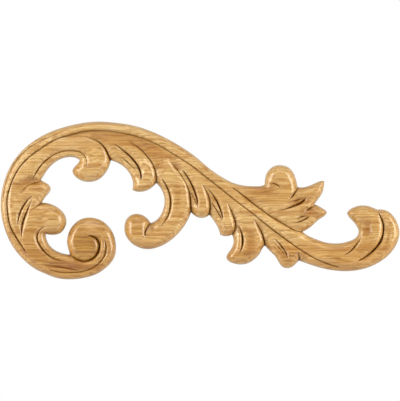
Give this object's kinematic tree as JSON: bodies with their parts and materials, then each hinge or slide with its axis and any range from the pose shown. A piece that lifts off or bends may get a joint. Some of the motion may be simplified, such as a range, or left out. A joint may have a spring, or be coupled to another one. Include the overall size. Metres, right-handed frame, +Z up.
{
  "type": "wood applique",
  "caption": "Flat-backed carved wooden applique: a scrolled acanthus branch with curling leaves and a small flower, carved in low relief on a pierced outline.",
  "frame": {"origin": "middle of the length and the height, on the flat back", "axes": "+X along the length towards the hooked end, +Z up, +Y out of the flat back; the carving faces -Y"},
  "size_m": [0.25, 0.012, 0.0989],
  "materials": {
    "oak": "satin"
  },
  "bodies": {
    "root": {"applique": "oak"}
  },
  "joints": []
}
